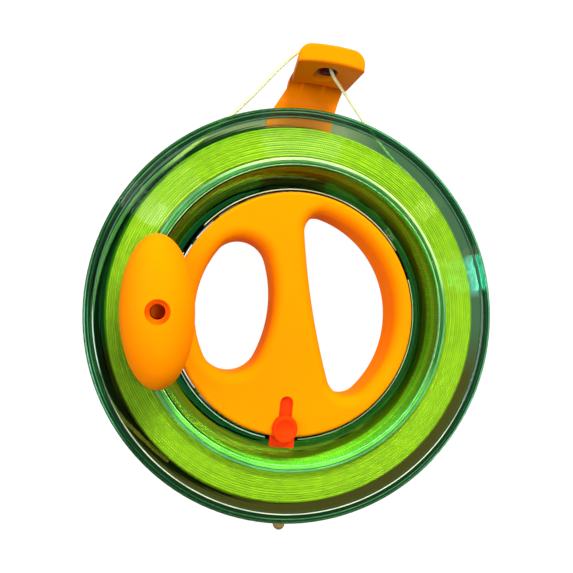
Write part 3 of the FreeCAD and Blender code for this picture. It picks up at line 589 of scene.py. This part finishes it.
freeLine = {   # sizes in mm
    "diameter": 1.6,
    "strands": 3,
    "strandShare": 0.52,   # a strand's radius as a share of the line's
    "strandApart": 0.92,   # its distance from the line's middle, in its own radii
    "lay": 3.8,            # length of one turn of the strands
    "curveOrder": 3,
    "curveSteps": 24,
    "step": 0.45,          # from one ring of the mesh to the next
    "sides": 8,
    "tightShare": 1.10,   # thickness where it runs tight to the eye
    "looseShare": 1.42,   # and where it hangs loose past the head
    "swellFrom": 78.0,    # along the line, where it begins to thicken
    "swellTo": 100.0,
}
freeLineRoute = [
    polar(101.0, 43.0, 42.0), polar(101.7, 52.0, 42.6), Vector((42.6, 92.6, 42.2)),
    Vector((11.3, 129.0, 40.3)),   # beside the eye, on the tight stretch
    Vector((6.4, 134.7, 40.0)), Vector((1.2, 148.6, 42.6)), Vector((-13.8, 145.2, 43.4)),
    Vector((-43.4, 103.4, 44.4)), Vector((-70.0, 76.2, 44.8)), polar(104.2, 146.0, 44.6),
    polar(104.6, 160.0, 43.8), polar(105.8, 175.0, 43.0), polar(107.0, 189.0, 42.6),
    polar(108.0, 202.0, 43.0), polar(106.2, 213.0, 43.6), polar(103.0, 222.0, 44.2),
    polar(101.7, 229.0, 44.4), polar(101.2, 234.5, 44.2),
]


def makeSpline(points, s):
    data = bpy.data.curves.new("routeCurve", "CURVE")
    data.dimensions = "3D"
    data.resolution_u = s["curveSteps"]
    spline = data.splines.new("NURBS")
    spline.points.add(len(points) - 1)
    for knot, point in zip(spline.points, points):
        knot.co = (point.x * mm, point.y * mm, point.z * mm, 1.0)
    spline.order_u = s["curveOrder"]
    spline.use_endpoint_u = True
    return data


def routePoints(points, s):
    holder = linkObject("routeHolder", makeSpline(points, s))
    bpy.context.view_layer.update()
    depsgraph = bpy.context.evaluated_depsgraph_get()
    mesh = bpy.data.meshes.new_from_object(holder.evaluated_get(depsgraph))
    path = [vertex.co.copy() for vertex in mesh.vertices]
    bpy.data.meshes.remove(mesh)
    bpy.data.objects.remove(holder)
    return path


def evenly(path, step):
    out = [path[0].copy()]
    carried = 0.0
    for a, b in zip(path, path[1:]):
        length = (b - a).length
        at = step - carried
        while at < length:
            out.append(a.lerp(b, at / length))
            at += step
        carried = length - (at - step)
    out.append(path[-1].copy())
    return out


def framesAlong(path):
    frames = []
    side = None
    for index, point in enumerate(path):
        ahead = path[min(index + 1, len(path) - 1)] - path[max(index - 1, 0)]
        ahead.normalize()
        if side is None:
            side = ahead.cross(Vector((0, 0, 1))).normalized()
        side = (side - ahead * side.dot(ahead)).normalized()
        frames.append((point, side, ahead.cross(side)))
    return frames


def sweepTube(frames, radii, sides):
    points, faces, along, around = [], [], [], []
    travelled = 0.0
    for index, (centre, side, other) in enumerate(frames):
        if index:
            travelled += (centre - frames[index - 1][0]).length
        for corner in range(sides):
            turn = 2 * math.pi * corner / sides
            out = side * math.cos(turn) + other * math.sin(turn)
            points.append(centre + out * radii[index])
            along.append(travelled)
            around.append(corner / sides)
    for ring in range(len(frames) - 1):
        for corner in range(sides):
            following = (corner + 1) % sides
            faces.append((ring * sides + corner, ring * sides + following,
                          (ring + 1) * sides + following, (ring + 1) * sides + corner))
    faces.append(tuple(range(sides))[::-1])
    last = (len(frames) - 1) * sides
    faces.append(tuple(last + corner for corner in range(sides)))
    return points, faces, along, around


def addLineAttributes(obj, **values):
    for name, numbers in values.items():
        layer = obj.data.attributes.new(name, "FLOAT", "POINT")
        layer.data.foreach_set("value", numbers)


def strandLine(core, strand, s):   # one strand wound round the line's middle
    line, radii = [], []
    travelled = 0.0
    for index, (centre, side, other) in enumerate(core):
        if index:
            travelled += (centre - core[index - 1][0]).length
        grown = smoothShare(travelled, s["swellFrom"] * mm, s["swellTo"] * mm)
        share = s["tightShare"] + (s["looseShare"] - s["tightShare"]) * grown
        radius = s["diameter"] / 2 * mm * s["strandShare"] * share
        turn = 2 * math.pi * (travelled / (s["lay"] * mm) + strand / s["strands"])
        out = side * math.cos(turn) + other * math.sin(turn)
        line.append(centre + out * radius * s["strandApart"])
        radii.append(radius)
    return line, radii


def makeFreeLine(s):
    path = routePoints(freeLineRoute, s)
    core = framesAlong(evenly(path, s["step"] * mm))
    points, faces, along, around = [], [], [], []
    for strand in range(s["strands"]):
        middle, radii = strandLine(core, strand, s)
        new, newFaces, newAlong, newAround = sweepTube(framesAlong(middle), radii, s["sides"])
        offset = len(points)
        points += new
        faces += [tuple(offset + number for number in face) for face in newFaces]
        along += newAlong
        around += newAround
    line = meshObject("freeLine", points, faces)
    addLineAttributes(line, alongLine=along, aroundLine=around, crown=[1.0] * len(points))
    giveMaterial(line, looks["paleLine"])
    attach(line, "handle")
    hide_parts("free_line")


makeFreeLine(freeLine)


# wound pack: one line winds out over its front, back along its outside and in again behind

windingPack = {   # sizes in mm
    "lineRadius": 0.60,
    "outerRadius": 99.5,
    "innerRadius": 84.75,
    "frontZ": 47.0,
    "backZ": 14.0,
    "sidePitch": 1.16,
    "layerPitch": 1.22,
    "stepsPerTurn": 180,
    "sides": 8,
    "changeFrom": 0.93,   # share of a turn after which it goes over to the next one's level
    "pairDrop": 0.12,     # every second turn lies this much deeper
    "pairShift": 0.10,    # and this much further out
    "pairCrown": 0.22,    # and has this much less crown, which darkens it with painted shade
    "unevenDrop": 0.22,   # likewise for each turn's own stray
    "unevenShift": 0.20,
    "unevenCrown": 0.6,
    "outsideDrop": 0.4,   # share of its drop that a turn keeps on the pack's outside
    "wander": 0.10,       # how far a turn's radius wanders
    "wave": 0.10,         # and its depth
    "edgeSwell": 0.75,    # how far the outer edge swells or sinks round the reel
    "swellFrom": 88.0,    # radius where that starts
    "flatFrom": 0.96,     # share of the half width from which a turn counts as on a flat side
    "corePast": 0.1,      # the core reaches this far past the middle of the flat sides' turns
    "coreShort": 0.1,     # and stops this far short of it at the outside
    "noise": {   # a place of its own in the noise for each unevenness
        "strayStep": 0.83, "strayStart": 3.1, "straySide": 5.0, "strayRow": 0.37,
        "swellRing": 1.1, "swellHeight": 7.0, "wanderRing": 2.2,
        "waveRing": 1.4, "waveHeight": 40.0, "turnRise": 0.9,
    },
}


def turnLevel(turns, side, s):   # whether a turn is a low one, and how far it strays
    spot = s["noise"]
    whole = int(turns)
    step = smoothShare(turns - whole, s["changeFrom"], 1.0)
    levels = []
    for turn in (whole, whole + 1):
        place = Vector((turn * spot["strayStep"] + spot["strayStart"], spot["straySide"] * side,
                        spot["strayRow"]))
        levels.append((turn % 2, noise.noise(place)))
    return [a + (b - a) * step for a, b in zip(*levels)]


def ringNoise(ring, turns, height):   # read on a circle, so that it joins up from turn to turn
    return noise.noise(polar(ring, 360 * turns, height))


def packPath(s):
    path, crowns = [], []
    spot = s["noise"]
    steps = s["stepsPerTurn"]
    sideTurns = (s["outerRadius"] - s["innerRadius"]) / s["sidePitch"]
    layerTurns = (s["frontZ"] - s["backZ"]) / s["layerPitch"]
    total = 2 * sideTurns + layerTurns
    for index in range(int(total * steps) + 1):
        turns = index / steps
        outward = max(0.0, min(turns, total - turns))
        side = 0 if turns < total / 2 else 1
        low, stray = turnLevel(turns, side, s)
        radius = s["innerRadius"] + s["sidePitch"] * min(outward, sideTurns)
        layer = min(max(turns - sideTurns, 0.0), layerTurns)
        z = s["frontZ"] - s["layerPitch"] * layer
        swell = ringNoise(spot["swellRing"], turns, spot["swellHeight"]) * s["edgeSwell"]
        radius += swell * smoothShare(radius, s["swellFrom"], s["outerRadius"])
        rise = turns * spot["turnRise"]
        radius += ringNoise(spot["wanderRing"], turns, rise) * s["wander"]
        wave = ringNoise(spot["waveRing"], turns, rise + spot["waveHeight"]) * s["wave"]
        drop = low * s["pairDrop"] + abs(stray) * s["unevenDrop"] + wave
        if outward < sideTurns:
            radius += low * s["pairShift"] + stray * s["unevenShift"]
            z += drop if side else -drop
        else:
            radius -= drop * s["outsideDrop"]
        path.append(polar(radius * mm, 360 * turns, z * mm))
        crowns.append(1.0 - s["pairCrown"] * low - s["unevenCrown"] * abs(stray))
    return path, crowns


def makePack(s):
    path, crowns = packPath(s)
    frames = []
    middle = (s["frontZ"] + s["backZ"]) / 2 * mm
    half = (s["frontZ"] - s["backZ"]) / 2 * mm
    for centre in path:
        frames.append((centre, Vector((centre.x, centre.y, 0)).normalized(), Vector((0, 0, 1))))
    radii = [s["lineRadius"] * mm] * len(frames)
    points, faces, along, around = sweepTube(frames, radii, s["sides"])
    crown = []   # 1 where a turn stands out of the pack, 0 where it is sunk between two others and the line's material paints shade
    for index, (centre, out, up) in enumerate(frames):
        side = max(-1.0, min(1.0, (centre.z - middle) / half))
        flat = abs(side) > s["flatFrom"]
        facing = up * (1 if side > 0 else -1) if flat else out
        for corner in range(s["sides"]):
            offset = (points[index * s["sides"] + corner] - centre).normalized()
            crown.append(max(0.0, offset.dot(facing)) * crowns[index])
    pack = meshObject("woundLine", points, faces)
    addLineAttributes(pack, alongLine=along, aroundLine=around, crown=crown)
    giveMaterial(pack, looks["limeLine"])
    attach(pack, "wheel")
    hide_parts("line_outer_layer")


def makePackCore(s):
    low, high = s["backZ"] - s["corePast"], s["frontZ"] + s["corePast"]
    inner, outer = s["innerRadius"] - s["lineRadius"], s["outerRadius"] - s["coreShort"]
    core = latheObject("packCore", [(inner, low), (outer, low), (outer, high), (inner, high)])
    giveMaterial(core, looks["limeShade"])
    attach(core, "wheel")
    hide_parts("line_core")


makePack(windingPack)
makePackCore(windingPack)
print("pack wound")


# fine ribs moulded on the barrel in two rows, seen through the cone

barrelRibs = {   # sizes in mm
    "count": 300,
    "outer": 81.45,
    "inner": 80.85,
    "land": 0.15,   # thickness between two ribs
    "rows": [(30.8, 38.2), (39.6, 46.8)],   # lowest and highest Z
}


def makeBarrelRibs(s):
    points, faces = [], []
    steps = 2 * s["count"]
    for low, high in s["rows"]:
        start = len(points)
        for step in range(steps):
            radius = s["inner"] if step % 2 else s["outer"] - s["land"]
            for z in (low, high):
                points.append(polar(radius * mm, 360 * step / steps, z * mm))
                points.append(polar(s["outer"] * mm, 360 * step / steps, z * mm))
        corners = (len(points) - start) // steps
        for step in range(steps):
            a, b = start + corners * step, start + corners * ((step + 1) % steps)
            faces += [(a, b, b + 2, a + 2), (a + 1, a + 3, b + 3, b + 1),
                      (a, a + 1, b + 1, b), (a + 2, b + 2, b + 3, a + 3)]
    ribs = meshObject("barrelRibs", points, faces, smooth=False)
    giveMaterial(ribs, looks["ribbedGreen"])
    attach(ribs, "wheel")


makeBarrelRibs(barrelRibs)
print("barrel ribbed")


# painted highlights on the wheel's edges: thin rings laid where the moulding turns a corner, painted
# light where the edge would catch the light and dark where it would not, more in some stretches than
# in others

paintedEdgeHighlights = {   # sizes in mm, and arcs as tone, centre, half width and soft end in degrees
    "sides": 8,
    "segments": 320,
    "rings": {
        "rimLine": {
            "radius": 109.0, "z": 50.55, "wide": 0.34, "thick": 0.15, "base": "forest",
            "arcs": [("mint", 20, 48, 30), ("mint", 200, 15, 10), ("bottle", 247, 22, 8)],
        },
        "shoulderLine": {
            "radius": 107.5, "z": 50.70, "wide": 0.34, "thick": 0.14, "base": "forest",
            "arcs": [("sage", 119, 34, 12), ("mint", 197, 9, 8), ("sage", 288, 14, 30)],
        },
        "beadLine": {
            "radius": 105.1, "z": 50.65, "wide": 0.36, "thick": 0.14, "base": "bottle",
            "arcs": [("cream", 274, 54, 14), ("ice", 193, 5, 5)],
        },
        "lipLine": {
            "radius": 79.7, "z": 50.60, "wide": 0.26, "thick": 0.16, "base": "sage",
            "arcs": [("cream", 145, 40, 30), ("leaf", 255, 30, 25)],
        },
        "lipShade": {
            "radius": 81.0, "z": 50.35, "wide": 0.75, "thick": 0.10, "base": "bottle",
            "arcs": [("leaf", 278, 48, 22), ("forest", 142, 22, 20)],
        },
        "lipBand": {
            "radius": 82.7, "z": 50.10, "wide": 0.80, "thick": 0.10, "base": "pine",
            "arcs": [("haze", 72, 34, 30)],
        },
    },
}
# a thin ring on the ridge's crest, painted as a highlight like the edges above
ridgeCrestHighlight = {   # lengths in mm, and angles in degrees
    "radius": 68.0,
    "z": 40.42,
    "thickness": 0.30,
    "sides": 6,
    "gaps": (30.0, 150.0, 270.0),   # where the bolt drops in
    "halfGap": 7.6,
    "step": 1.5,
    "base": "sage",
    "arcs": [("cream", 110, 60, 30), ("ice", 235, 25, 15)],
}


def makeEdgeHighlight(name, edge, sides, segments):
    outline = []
    for corner in range(sides):
        turn = 2 * math.pi * corner / sides
        outline.append((edge["radius"] + edge["wide"] * math.cos(turn),
                        edge["z"] + edge["thick"] * math.sin(turn)))
    line = latheObject(name, outline, segments)
    giveMaterial(line, paintedHighlightMaterial(name + "Tone", edge["base"], edge["arcs"]))
    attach(line, "wheel")


def makeRidgeCrest(s):
    points, faces = [], []
    gaps = s["gaps"]
    for number, gap in enumerate(gaps):
        following = gaps[number + 1] if number + 1 < len(gaps) else gaps[0] + 360
        first, last = gap + s["halfGap"], following - s["halfGap"]
        count = int((last - first) / s["step"])
        path = [polar(s["radius"] * mm, first + (last - first) * index / count, s["z"] * mm)
                for index in range(count + 1)]
        tube = sweepTube(framesAlong(path), [s["thickness"] * mm] * (count + 1), s["sides"])
        offset = len(points)
        points += tube[0]
        faces += [tuple(offset + corner for corner in face) for face in tube[1]]
    crest = meshObject("ridgeCrestHighlight", points, faces)
    giveMaterial(crest, paintedHighlightMaterial("ridgeHighlight", s["base"], s["arcs"]))
    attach(crest, "wheel")


for edgeName, edge in paintedEdgeHighlights["rings"].items():
    makeEdgeHighlight(edgeName, edge, paintedEdgeHighlights["sides"], paintedEdgeHighlights["segments"])
makeRidgeCrest(ridgeCrestHighlight)
print("edges brightened")


# studio

white = (1.0, 1.0, 1.0)
lampYellow = (1.0, 0.85, 0.45)
studio = {   # places and sizes in metres
    "floorColour": (0.08, 0.08, 0.08),
    "floorHalf": 3.0,
    "floorBelow": 0.0005,
    "floorRoughness": 0.8,
    "floorSeen": 0.985,   # glow of the paper floor straight to the camera
    "floorGlow": 0.26,    # and to the object
    "worldStrength": 0.26,
    "worldMirrored": 0.03,   # strength in reflections
    "aim": (0.0, 0.0, 0.03),
    "unmirrored": ("keyLight",),   # gives light, but isn't seen in reflections
    "lights": [   # name, place, width, height, watts, spin in degrees, colour
        ("keyLight", (0.25, 1.15, 1.02), 0.9, 0.7, 31.5, 0, white),
        ("edgeLight", (0.25, 1.10, 1.00), 0.6, 0.10, 1.5, 0, white),
        ("topLight", (0.19, 0.0, 0.95), 0.22, 0.22, 1.8, 0, white),
        ("fillLight", (-1.00, 0.10, 0.95), 0.9, 0.9, 11.0, 0, white),
        ("lowLight", (0.15, -1.15, 0.85), 0.8, 0.8, 0.5, 0, white),
        ("hazeLight", (0.165, 0.366, 0.95), 0.17, 0.03, 0.045, 29, (0.75, 0.9, 1.0)),
        ("glintLight", (-0.126, 0.177, 0.95), 0.05, 0.012, 0.035, 26, white),
        ("windowLight", (-0.067, 0.217, 0.95), 0.09, 0.03, 0.02, 33, (0.9, 1.0, 0.95)),
        ("mintLight", (0.597, 0.140, 0.95), 0.080, 0.020, 0.36, 7, (0.08, 1.0, 0.55)),
        ("lampOne", (0.395, 0.210, 0.95), 0.03, 0.02, 0.015, 16, lampYellow),
        ("lampTwo", (0.499, 0.150, 0.95), 0.02, 0.018, 0.006, 9, lampYellow),
    ],
}


def makeFloor(s):
    half = s["floorHalf"]
    corners = [(-half, -half, 0), (half, -half, 0), (half, half, 0), (-half, half, 0)]
    floor = meshObject("floor", corners, [(0, 1, 2, 3)])
    floor.location.z = -s["floorBelow"]
    material, tree, shader = newMaterial("floorPaint", Roughness=s["floorRoughness"],
                                         Base_Color=(*s["floorColour"], 1.0),
                                         Emission_Color=(*white, 1.0))
    tree.links.new(lightPathMix(tree, "Is Camera Ray", s["floorGlow"], s["floorSeen"]),
                   shader.inputs["Emission Strength"])
    giveMaterial(floor, material)


def makeWorld(s):
    world = bpy.data.worlds.new("studioWorld")
    world.use_nodes = True
    tree = world.node_tree
    surface = tree.nodes["Background"]
    surface.inputs["Color"].default_value = (*white, 1.0)
    tree.links.new(lightPathMix(tree, "Is Glossy Ray", s["worldStrength"], s["worldMirrored"]),
                   surface.inputs["Strength"])
    bpy.context.scene.world = world
    bpy.context.scene.view_settings.view_transform = "Standard"


def makeLights(s):
    for name, place, width, height, power, spin, colour in s["lights"]:
        data = bpy.data.lights.new(name, "AREA")
        data.shape = "RECTANGLE"
        data.size = width
        data.size_y = height
        data.energy = power
        data.color = colour
        light = linkObject(name, data)
        light.location = place
        aim = Vector(s["aim"]) - Vector(place)
        turned = aim.to_track_quat("-Z", "Y") @ Quaternion((0, 0, 1), math.radians(spin))
        light.rotation_euler = turned.to_euler()
        light.visible_glossy = name not in s["unmirrored"]


makeFloor(studio)
makeWorld(studio)
makeLights(studio)
print("studio lit")
